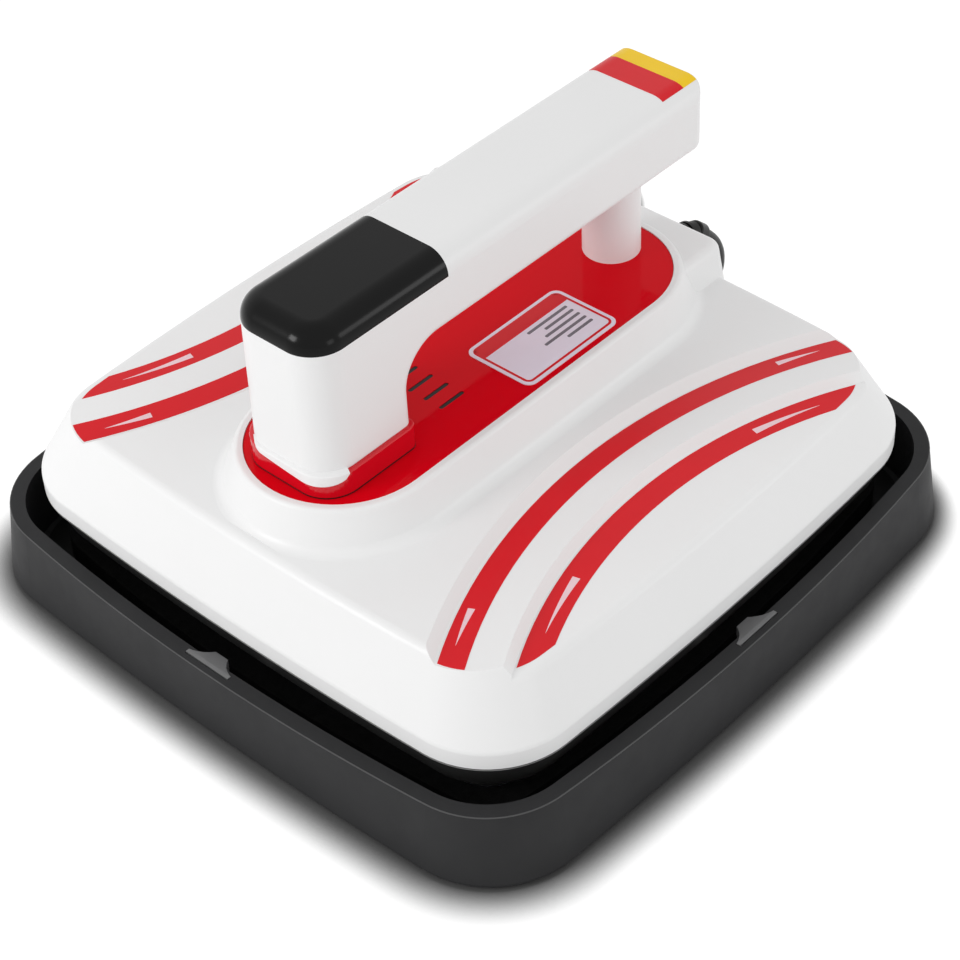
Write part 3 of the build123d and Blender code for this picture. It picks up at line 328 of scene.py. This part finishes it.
def make_cord(finish):
    """The mains lead from the strain relief to the coil and the plug."""
    route = [RELIEF_TIP] + LEAD + coil_points() + TAIL
    data = bpy.data.curves.new("mains_lead", "CURVE")
    data.dimensions = "3D"
    data.resolution_u = CORD_SMOOTH
    data.bevel_depth = CORD / 2
    data.bevel_resolution = CORD_SMOOTH
    data.use_fill_caps = True
    spline = data.splines.new("NURBS")
    spline.points.add(len(route) - 1)
    for point, place in zip(spline.points, route):
        point.co = (*(c * MM for c in place), 1)
    spline.order_u = 3
    spline.use_endpoint_u = True
    cord = bpy.data.objects.new("mains_lead", data)
    bpy.context.scene.collection.objects.link(cord)
    dress(cord, finish["cord_black"])
    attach(cord, "press_head")
    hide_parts("mains_cord", "mains_cord_coil", "mains_cord_tail")


# ---------------------------------------------------------------- pieces in mesh code
WELD = 1e-6                 # metres; points nearer than this are one point


def new_piece(name, mesh, body):
    """A named piece that rides with a body."""
    obj = bpy.data.objects.new(name, mesh)
    bpy.context.scene.collection.objects.link(obj)
    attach(obj, body)
    return obj


def film(bm, rings, thickness):
    """Add a thin closed film that lies on the strip between two rows of points.

    Rows that end where they start make a ring, which has no ends to close.
    """
    rows = []
    for ring in rings:
        low = [bm.verts.new(p) for p in ring]
        high = [bm.verts.new(p + Vector((0, 0, thickness))) for p in ring]
        rows.append((low, high))
    (low_a, high_a), (low_b, high_b) = rows
    for i in range(len(low_a) - 1):
        bm.faces.new((high_a[i], high_a[i + 1], high_b[i + 1], high_b[i]))
        bm.faces.new((low_a[i + 1], low_a[i], low_b[i], low_b[i + 1]))
        bm.faces.new((low_a[i], low_a[i + 1], high_a[i + 1], high_a[i]))
        bm.faces.new((high_b[i], high_b[i + 1], low_b[i + 1], low_b[i]))
    if (rings[0][0] - rings[0][-1]).length > 0:
        for i in (0, -1):
            bm.faces.new((low_a[i], high_a[i], high_b[i], low_b[i]))


def close_mesh(bm, name):
    """The finished mesh, with points that coincide merged and its faces turned outwards."""
    bmesh.ops.remove_doubles(bm, verts=bm.verts, dist=WELD)
    bmesh.ops.recalc_face_normals(bm, faces=bm.faces)
    mesh = bpy.data.meshes.new(name)
    bm.to_mesh(mesh)
    bm.free()
    return mesh


def surface(node):
    """A CAD node's surface, to send rays at."""
    data = nodes[node].data
    return BVHTree.FromPolygons(
        [v.co.copy() for v in data.vertices], [tuple(p.vertices) for p in data.polygons])


PRINT = 0.05                # thickness of a wedge's film
ARC_CENTRE = 294.6          # both stripes are struck from here, on each side
# Middle of a wedge's radius, its blunt end's and its tip's angle, and the blunt end's width.
WEDGES = [(228.6, 22.8, 27.5, 2.6), (200.6, 15.0, 23.5, 2.9)]
WEDGE_STEPS = 24
WEDGE_TIP_HALF = 0.04       # added to a wedge's half width, so that its tip isn't a point


def make_accents(finish):
    """Pale wedges near the ends of the four stripes, lying on the stripes' film."""
    stripes = surface("stripe_decals")
    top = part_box("handle_shell")[1].z
    bm = bmesh.new()
    for side in (1, -1):
        for end in (1, -1):
            for radius, blunt, tip, width in WEDGES:
                rings = [[], []]
                for i in range(WEDGE_STEPS + 1):
                    share = i / WEDGE_STEPS
                    angle = math.radians(blunt + (tip - blunt) * share)
                    half = width / 2 * (1 - share) + WEDGE_TIP_HALF
                    for ring, offset in zip(rings, (half, -half)):
                        r = radius + offset
                        x = side * (ARC_CENTRE - r * math.cos(angle)) * MM
                        y = side * end * r * math.sin(angle) * MM
                        ring.append(stripes.ray_cast(Vector((x, y, top)), Vector((0, 0, -1)))[0])
                film(bm, rings, PRINT * MM)
    obj = new_piece("stripe_accents", close_mesh(bm, "stripe_accents"), "press_head")
    dress(obj, finish["accent"])


def rounded(cx, cy, half_x, half_y, radius, steps=8):
    """Points of a rounded rectangle, counter-clockwise."""
    points = []
    corners = [(1, 1, 0), (-1, 1, 90), (-1, -1, 180), (1, -1, 270)]
    for sx, sy, start in corners:
        for i in range(steps + 1):
            angle = math.radians(start + 90 * i / steps)
            x = cx + sx * (half_x - radius) + radius * math.cos(angle)
            y = cy + sy * (half_y - radius) + radius * math.sin(angle)
            points.append((x, y))
    return points


def flat_film(bm, outline, z, thickness):
    """Add a flat printed shape, whose underside is at height z."""
    low = [bm.verts.new((x, y, z)) for x, y in outline]
    high = [bm.verts.new((x, y, z + thickness)) for x, y in outline]
    bm.faces.new(high)
    bm.faces.new(list(reversed(low)))
    for i in range(len(outline)):
        j = (i + 1) % len(outline)
        bm.faces.new((low[i], low[j], high[j], high[i]))


LABEL_PRINT = 0.04          # thickness of the label's print
FRAME_INSET = 1.5           # from the label's edge to the frame line
FRAME_LINE = 1.1            # the line's width
FRAME_CORNER = 3.0          # its outer corner's radius
BAND_WIDTH = 6.0            # the heading band, along the label's inner long side
BAND_CORNER = 0.3
BAR_LENGTHS = (23.0, 16.5, 20.0, 24.0, 14.5)    # from the band outwards
BAR_START = 2.6             # from the band to the first bar's middle
BAR_PITCH = 3.3
BAR_MARGIN = 6.0            # from the label's rear end
BAR_HALF_WIDTH = 0.7
BAR_CORNER = 0.5
BAR_CORNER_STEPS = 4


def make_label_print(finish):
    """The label's red frame line and heading band, and dark bars where its lines stand."""
    low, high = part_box("rating_plate")
    cx, cy = (low.x + high.x) / 2, (low.y + high.y) / 2
    half_x, half_y = (high.x - low.x) / 2, (high.y - low.y) / 2
    z = high.z
    thick = LABEL_PRINT * MM
    inset, line, radius = FRAME_INSET * MM, FRAME_LINE * MM, FRAME_CORNER * MM
    bm = bmesh.new()
    outer = rounded(cx, cy, half_x - inset, half_y - inset, radius)
    inner = rounded(cx, cy, half_x - inset - line, half_y - inset - line, radius - line)
    rings = [[Vector((x, y, z)) for x, y in ring + ring[:1]] for ring in (outer, inner)]
    film(bm, rings, thick)
    band_low = low.x + inset + line
    band_high = band_low + BAND_WIDTH * MM
    band = rounded(
        (band_low + band_high) / 2, cy, (band_high - band_low) / 2, half_y - inset - line,
        BAND_CORNER * MM)
    flat_film(bm, band, z, thick)
    obj = new_piece("label_frame", close_mesh(bm, "label_frame"), "press_head")
    dress(obj, finish["red_film"])
    bm = bmesh.new()
    for i, length in enumerate(BAR_LENGTHS):
        x = band_high + (BAR_START + BAR_PITCH * i) * MM
        y = high.y - BAR_MARGIN * MM - length * MM / 2
        bar = rounded(
            x, y, BAR_HALF_WIDTH * MM, length * MM / 2, BAR_CORNER * MM, BAR_CORNER_STEPS)
        flat_film(bm, bar, z, thick)
    obj = new_piece("label_bars", close_mesh(bm, "label_bars"), "press_head")
    dress(obj, finish["bar_grey"])


SLOTS = 5                   # in the deck, in a row across it
SLOT_PITCH = 8.0
SLOT_MIDDLE = -23.9         # in y
SLOT_LENGTH = 13.0
SLOT_WIDTH = 1.9
SLOT_GAP = 0.03             # between a black piece and its slot's wall
BOTTOM_DEPTH = 0.45         # from the deck's face to the black piece's lower side
BOTTOM_THICKNESS = 0.2
BOTTOM_ROUND = 0.98         # the ends are all but half circles


def make_slot_bottoms(finish):
    """A flat black piece in each of the deck's slots, a little below its face, so that the slots
    show black.
    """
    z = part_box("panel_deck")[1].z - BOTTOM_DEPTH * MM
    half_x = (SLOT_WIDTH / 2 - SLOT_GAP) * MM
    half_y = (SLOT_LENGTH / 2 - SLOT_GAP) * MM
    bm = bmesh.new()
    for i in range(SLOTS):
        x = (i - (SLOTS - 1) / 2) * SLOT_PITCH * MM
        bottom = rounded(x, SLOT_MIDDLE * MM, half_x, half_y, BOTTOM_ROUND * half_x)
        flat_film(bm, bottom, z, BOTTOM_THICKNESS * MM)
    obj = new_piece("slot_bottoms", close_mesh(bm, "slot_bottoms"), "press_head")
    dress(obj, finish["skirt_black"])


# ---------------------------------------------------------------- the leg's foot
COLLAR_RISE = 4.0           # the collar's ring stands this far up round the leg
COLLAR_ROUND = 0.8          # the radius of the ring's outer upper edge
LEG_CORNER = 14.0           # the leg's and the collar's front corners
LEG_REAR_CORNER = 4.0
CORNER_STEPS = 12
COLLAR_REAR_FLARE = 0.9     # the collar's rear lies this far behind the leg's
COLLAR_ROUND_ANGLES = (30, 60, 90)
INTO_LEG = 0.15             # the ring's and the lip's inner sides lie this far inside the leg
# The ring of painted shade at the collar's foot:
SHADE_BAND_FOOT = 0.02            # above the deck
SHADE_BAND_HEIGHT = 0.65
SHADE_BAND_PROUD = 0.04
SHADE_BAND_DEEP = 0.3             # into the collar
LIP_START = 232             # where it starts, round the leg's left corner
FRONT = 270                 # the direction of the leg's front
LIP_END = 348               # and where it ends, round the right corner
LIP_STEPS = (8, 7, 12)      # round the left corner, along the front, round the right corner
LIP_PROUD = 0.5             # how far its face stands out from the collar
LIP_FOOT_PROUD = 0.3        # and its lower edge
LIP_TOP_PROUD = 0.2         # and its shoulder
LIP_BEHIND = 0.4            # its back lies this far inside the collar
LIP_UP_LEG = 0.9            # above the collar's top, where it meets the leg
LIP_SHOULDER = 0.3          # the shoulder's height above the collar's top
LIP_FACE_TOP = -0.2         # and the height of its face's upper edge
LIP_FOOT_ROUND = 0.4        # from the face's lower edge down to the lip's
LIP_LEAST = 0.9             # its depth at both ends
LIP_DEEPEST = 4.6           # and at the leg's right front corner
LIP_DEEPEST_AT = 0.70       # of the way along it
LIP_TAPER = 9               # rows over which its left end grows out of the leg
LIP_FIRST = 0.2             # the share of its full shape that the first row has


def foot_outline(half, front, rear, inset):
    """The leg's or the collar's outline in plan, counter-clockwise, moved in by inset."""
    half, front, rear = half - inset, front + inset, rear - inset
    points = []
    for sx, at_front, start in ((1, False, 0), (-1, False, 90), (-1, True, 180), (1, True, 270)):
        radius = (LEG_CORNER if at_front else LEG_REAR_CORNER) - inset
        cy = front + radius if at_front else rear - radius
        for i in range(CORNER_STEPS + 1):
            angle = math.radians(start + 90 * i / CORNER_STEPS)
            x = sx * (half - radius) + radius * math.cos(angle)
            points.append((x, cy + radius * math.sin(angle)))
    return points


def hoop(bm, rings):
    """Add a closed tube through rows of points. Each row is a ring, as are the rows together."""
    rows = [[bm.verts.new(Vector(p) * MM) for p in ring] for ring in rings]
    for a, b in zip(rows, rows[1:] + rows[:1]):
        for i in range(len(a)):
            j = (i + 1) % len(a)
            bm.faces.new((a[i], a[j], b[j], b[i]))


def leg_and_collar():
    """Half width, front and rear of the leg and of the collar, and the ring's foot and top."""
    low, high = (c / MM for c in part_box("leg_collar"))
    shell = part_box("handle_shell")[0] / MM
    leg = (-shell.x, shell.y, high.y - COLLAR_REAR_FLARE)
    return leg, (high.x, low.y, high.y), low.z, high.z + COLLAR_RISE


def make_collar(finish):
    """The red collar, which stands up round the leg's foot, and under it a dark ring of painted
    shade, for the shadow line where the collar meets the deck.
    """
    leg, collar, foot, top = leg_and_collar()
    profile = [(0.0, foot), (0.0, top - COLLAR_ROUND)]
    for angle in COLLAR_ROUND_ANGLES:
        turn = math.radians(angle)
        profile.append((
            COLLAR_ROUND * (1 - math.cos(turn)),
            top - COLLAR_ROUND * (1 - math.sin(turn))))
    rings = [[(x, y, z) for x, y in foot_outline(*collar, inset)] for inset, z in profile]
    rings += [[(x, y, z) for x, y in foot_outline(*leg, INTO_LEG)] for z in (top, foot)]
    bm = bmesh.new()
    hoop(bm, rings)
    obj = new_piece("foot_collar", close_mesh(bm, "foot_collar"), "press_head")
    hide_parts("leg_collar")
    dress(obj, finish["collar_red"])

    # A dark ring of painted shade at the collar's foot, where it meets the deck.
    bm = bmesh.new()
    low, high = foot + SHADE_BAND_FOOT, foot + SHADE_BAND_HEIGHT
    profile = [(-SHADE_BAND_PROUD, low), (-SHADE_BAND_PROUD, high), (SHADE_BAND_DEEP, high), (SHADE_BAND_DEEP, low)]
    hoop(bm, [[(x, y, z) for x, y in foot_outline(*collar, inset)] for inset, z in profile])
    obj = new_piece("collar_contact_shade", close_mesh(bm, "collar_contact_shade"), "press_head")
    dress(obj, finish["contact_shade"])


def lip_path(half, front, inset):
    """Points along the foot's front, from its left corner to the end of its right one."""
    radius = LEG_CORNER - inset
    x, y = half - inset - radius, front + inset + radius
    points = []
    left, along, right = LIP_STEPS
    for i in range(left + 1):
        angle = math.radians(LIP_START + (FRONT - LIP_START) * i / left)
        points.append((-x + radius * math.cos(angle), y + radius * math.sin(angle)))
    points += [(-x + 2 * x * i / along, y - radius) for i in range(1, along)]
    for i in range(right + 1):
        angle = math.radians(FRONT + (LIP_END - FRONT) * i / right)
        points.append((x + radius * math.cos(angle), y + radius * math.sin(angle)))
    return points


def lip_depth(share):
    """How deep the lip hangs at a share of the way along it."""
    if share < LIP_DEEPEST_AT:
        return LIP_LEAST + (LIP_DEEPEST - LIP_LEAST) * smooth(share / LIP_DEEPEST_AT)
    part = (share - LIP_DEEPEST_AT) / (1 - LIP_DEEPEST_AT)
    return LIP_LEAST + (LIP_DEEPEST - LIP_LEAST) * math.sqrt(max(0.0, 1 - part * part))


def make_lip(finish):
    """The leg's white lip over the collar's front, which hangs deepest at its right corner."""
    leg, collar, _, top = leg_and_collar()
    inner = lip_path(*leg[:2], INTO_LEG)
    insets = (-LIP_PROUD, -LIP_FOOT_PROUD, -LIP_TOP_PROUD, LIP_BEHIND)
    proud, edge, outer, behind = (lip_path(*collar[:2], inset) for inset in insets)
    count = len(inner)
    bm = bmesh.new()
    rows = []
    for i in range(count):
        low = top - lip_depth(i / (count - 1))
        share = smooth(min(1.0, i / LIP_TAPER))
        row = (
            (*inner[i], top + LIP_UP_LEG), (*outer[i], top + LIP_SHOULDER),
            (*proud[i], top + LIP_FACE_TOP), (*proud[i], low + LIP_FOOT_ROUND),
            (*edge[i], low), (*behind[i], low))
        anchor = Vector((*inner[i], top))
        rows.append([
            bm.verts.new(anchor.lerp(Vector(p), LIP_FIRST + (1 - LIP_FIRST) * share) * MM)
            for p in row])
    for a, b in zip(rows, rows[1:]):
        for k in range(len(a)):
            n = (k + 1) % len(a)
            bm.faces.new((a[k], a[n], b[n], b[k]))
    bm.faces.new(rows[0])
    bm.faces.new(rows[-1])
    obj = new_piece("foot_lip", close_mesh(bm, "foot_lip"), "press_head")
    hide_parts("handle_lip")
    dress(obj, finish["white_shell"])


# ---------------------------------------------------------------- painted highlight lines
HIGHLIGHT_STEPS = 360            # along a highlight line
HIGHLIGHT_SIDES = 8              # round it
RAY_START = 0.5             # metres from the middle, outside every node
RIM_HIGHLIGHT_DROP = 0.24        # below the rim's top
RIM_HIGHLIGHT_RADIUS = 0.27
SKIRT_HIGHLIGHT_DROP = 0.85      # below the skirt's top
SKIRT_HIGHLIGHT_RADIUS = 0.22


def edge_bead(name, node, z, radius, body):
    """A fine tube round a CAD node's outside, at height z, for a painted highlight line."""
    node_surface = surface(node)
    line = []
    for i in range(HIGHLIGHT_STEPS):
        angle = math.radians(360 * i / HIGHLIGHT_STEPS)
        out = Vector((math.cos(angle), math.sin(angle), 0))
        hit = node_surface.ray_cast(out * RAY_START + Vector((0, 0, z * MM)), -out)[0]
        line.append(hit / MM)
    rings = []
    for k in range(HIGHLIGHT_SIDES):
        turn = math.radians(360 * k / HIGHLIGHT_SIDES)
        ring = []
        for i, point in enumerate(line):
            along = (line[(i + 1) % HIGHLIGHT_STEPS] - line[i - 1]).normalized()
            out = along.cross(Vector((0, 0, 1)))
            ring.append(point + radius * (math.cos(turn) * out + Vector((0, 0, math.sin(turn)))))
        rings.append(ring)
    bm = bmesh.new()
    hoop(bm, rings)
    return new_piece(name, close_mesh(bm, name), body)


def make_beads(finish):
    """Painted highlights: the lighter line along the tray's outer edge and the fine one near the
    skirt's top, in place of the shine on those edges.
    """
    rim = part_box("base_tray")[1].z / MM - RIM_HIGHLIGHT_DROP
    obj = edge_bead("rim_bead", "base_tray", rim, RIM_HIGHLIGHT_RADIUS, "base")
    dress(obj, finish["bead"])
    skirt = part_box("lower_skirt")[1].z / MM - SKIRT_HIGHLIGHT_DROP
    obj = edge_bead("skirt_bead", "lower_skirt", skirt, SKIRT_HIGHLIGHT_RADIUS, "press_head")
    dress(obj, finish["skirt_bead"])


# ---------------------------------------------------------------- studio
FLOOR_SIZE = 4.0            # metres from its middle to each side
FLOOR_CELLS = 8
FLOOR_GREY = (0.80, 0.80, 0.80, 1)
FLOOR_FAINT = (0.10, 0.10, 0.10, 1)     # what shows of it besides its own white
SHADE_SAMPLES = 24
SHADE_Y = (60, 200)         # between these places in y, the contact shade's reach
SHADE_REACH = (18, 5)       # passes from the first of these to the second
SHADE_RANGE = (0.53, 0.99)  # the open share of the sky that shows as black and as white
SHADE_POWER = 2.0
WORLD_LIGHT = 0.80          # what the world gives a surface
WORLD_SEEN = 1.0            # and what a camera, gloss or glass sees of it
# Each lamp's name, place, aim, size and power, in metres and watts.
LAMPS = [
    ("key", (-0.42, -1.05, 0.62), (0, 0, 0.06), 0.40, 5.0),
    ("fill", (1.30, -0.10, 0.42), (0, 0, 0.06), 0.40, 1.0),
    ("edge", (0.94, 0.66, 0.38), (0, -0.05, 0.15), 0.34, 1.2),
]


def floor_material():
    """A pale matt floor.

    What a camera, gloss or glass sees of it is white, but for the object's contact shade.
    """
    mat = bpy.data.materials.new("floor")
    mat.use_nodes = True
    tree = mat.node_tree
    tree.nodes.remove(tree.nodes["Principled BSDF"])
    out = tree.nodes["Material Output"]
    matt = tree.nodes.new("ShaderNodeBsdfDiffuse")
    matt.inputs["Color"].default_value = FLOOR_GREY
    cover = tree.nodes.new("ShaderNodeAmbientOcclusion")
    cover.samples = SHADE_SAMPLES
    coords = tree.nodes.new("ShaderNodeTexCoord")
    place = tree.nodes.new("ShaderNodeSeparateXYZ")
    link(tree, coords, "Object", place, "Vector")
    reach = tree.nodes.new("ShaderNodeMapRange")
    reach.inputs["From Min"].default_value = SHADE_Y[0] * MM
    reach.inputs["From Max"].default_value = SHADE_Y[1] * MM
    reach.inputs["To Min"].default_value = SHADE_REACH[0] * MM
    reach.inputs["To Max"].default_value = SHADE_REACH[1] * MM
    link(tree, place, "Y", reach, "Value")
    link(tree, reach, "Result", cover, "Distance")
    open_share = tree.nodes.new("ShaderNodeMapRange")
    open_share.inputs["From Min"].default_value = SHADE_RANGE[0]
    open_share.inputs["From Max"].default_value = SHADE_RANGE[1]
    link(tree, cover, "AO", open_share, "Value")
    fade = tree.nodes.new("ShaderNodeMath")
    fade.operation = "POWER"
    fade.inputs[1].default_value = SHADE_POWER
    link(tree, open_share, "Result", fade, 0)
    white = tree.nodes.new("ShaderNodeEmission")
    link(tree, fade, "Value", white, "Strength")
    faint = tree.nodes.new("ShaderNodeBsdfDiffuse")
    faint.inputs["Color"].default_value = FLOOR_FAINT
    shown = tree.nodes.new("ShaderNodeAddShader")
    link(tree, white, "Emission", shown, 0)
    link(tree, faint, "BSDF", shown, 1)
    mix = tree.nodes.new("ShaderNodeMixShader")
    link(tree, seen(tree), "Value", mix, "Fac")
    link(tree, matt, "BSDF", mix, 1)
    link(tree, shown, "Shader", mix, 2)
    link(tree, mix, "Shader", out, "Surface")
    return mat


def seen(tree):
    """1 for camera, glossy and transmission rays, or else 0."""
    path = tree.nodes.new("ShaderNodeLightPath")
    first = tree.nodes.new("ShaderNodeMath")
    first.operation = "MAXIMUM"
    link(tree, path, "Is Camera Ray", first, 0)
    link(tree, path, "Is Glossy Ray", first, 1)
    both = tree.nodes.new("ShaderNodeMath")
    both.operation = "MAXIMUM"
    link(tree, first, "Value", both, 0)
    link(tree, path, "Is Transmission Ray", both, 1)
    return both


def area_light(name, place, aim, size, power):
    """A square lamp at place, turned towards aim."""
    data = bpy.data.lights.new(name, "AREA")
    data.shape = "SQUARE"
    data.size = size
    data.energy = power
    lamp = bpy.data.objects.new(name, data)
    bpy.context.scene.collection.objects.link(lamp)
    lamp.location = place
    lamp.rotation_euler = (Vector(aim) - Vector(place)).to_track_quat("-Z", "Y").to_euler()


def make_studio():
    """The floor, the world and the lamps."""
    bm = bmesh.new()
    bmesh.ops.create_grid(
        bm, x_segments=FLOOR_CELLS, y_segments=FLOOR_CELLS, size=FLOOR_SIZE)
    mesh = bpy.data.meshes.new("floor")
    bm.to_mesh(mesh)
    bm.free()
    floor = bpy.data.objects.new("floor", mesh)
    bpy.context.scene.collection.objects.link(floor)
    floor.data.materials.append(floor_material())

    world = bpy.data.worlds.new("studio")
    bpy.context.scene.world = world
    world.use_nodes = True
    tree = world.node_tree
    dim = tree.nodes["Background"]
    dim.inputs["Color"].default_value = (1, 1, 1, 1)
    dim.inputs["Strength"].default_value = WORLD_LIGHT
    bright = tree.nodes.new("ShaderNodeBackground")
    bright.inputs["Color"].default_value = (1, 1, 1, 1)
    bright.inputs["Strength"].default_value = WORLD_SEEN
    mix = tree.nodes.new("ShaderNodeMixShader")
    link(tree, seen(tree), "Value", mix, "Fac")
    link(tree, dim, "Background", mix, 1)
    link(tree, bright, "Background", mix, 2)
    link(tree, mix, "Shader", tree.nodes["World Output"], "Surface")

    for lamp in LAMPS:
        area_light(*lamp)
    bpy.context.scene.view_settings.view_transform = "Standard"


# ---------------------------------------------------------------- put together
place_camera()
finish = make_materials()
make_cord(finish)
dress_nodes(finish)
make_accents(finish)
make_label_print(finish)
make_slot_bottoms(finish)
make_collar(finish)
make_lip(finish)
make_beads(finish)
make_studio()
